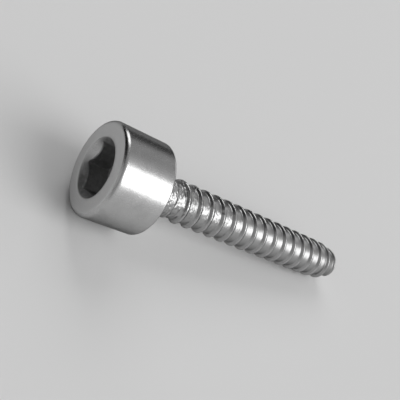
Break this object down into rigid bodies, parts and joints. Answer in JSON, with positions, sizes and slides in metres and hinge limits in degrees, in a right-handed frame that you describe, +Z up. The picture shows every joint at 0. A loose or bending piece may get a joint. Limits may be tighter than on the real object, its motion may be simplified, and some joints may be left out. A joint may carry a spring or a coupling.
{
  "type": "self-tapping socket cap screw",
  "caption": "Steel screw with a plain cylindrical head, a hexagon socket and a coarse self-tapping thread, for driving into wood or plastic.",
  "frame": {"origin": "centre of the footprint, on the table that the screw lies on", "axes": "+X from the head towards the tip, +Z up; the screw's own axis lies in the XZ plane, with the tip 5.6 degrees below the level"},
  "size_m": [0.0304, 0.0084, 0.0088],
  "materials": {
    "steel": "satin"
  },
  "bodies": {
    "root": {"screw": "steel"}
  },
  "joints": []
}
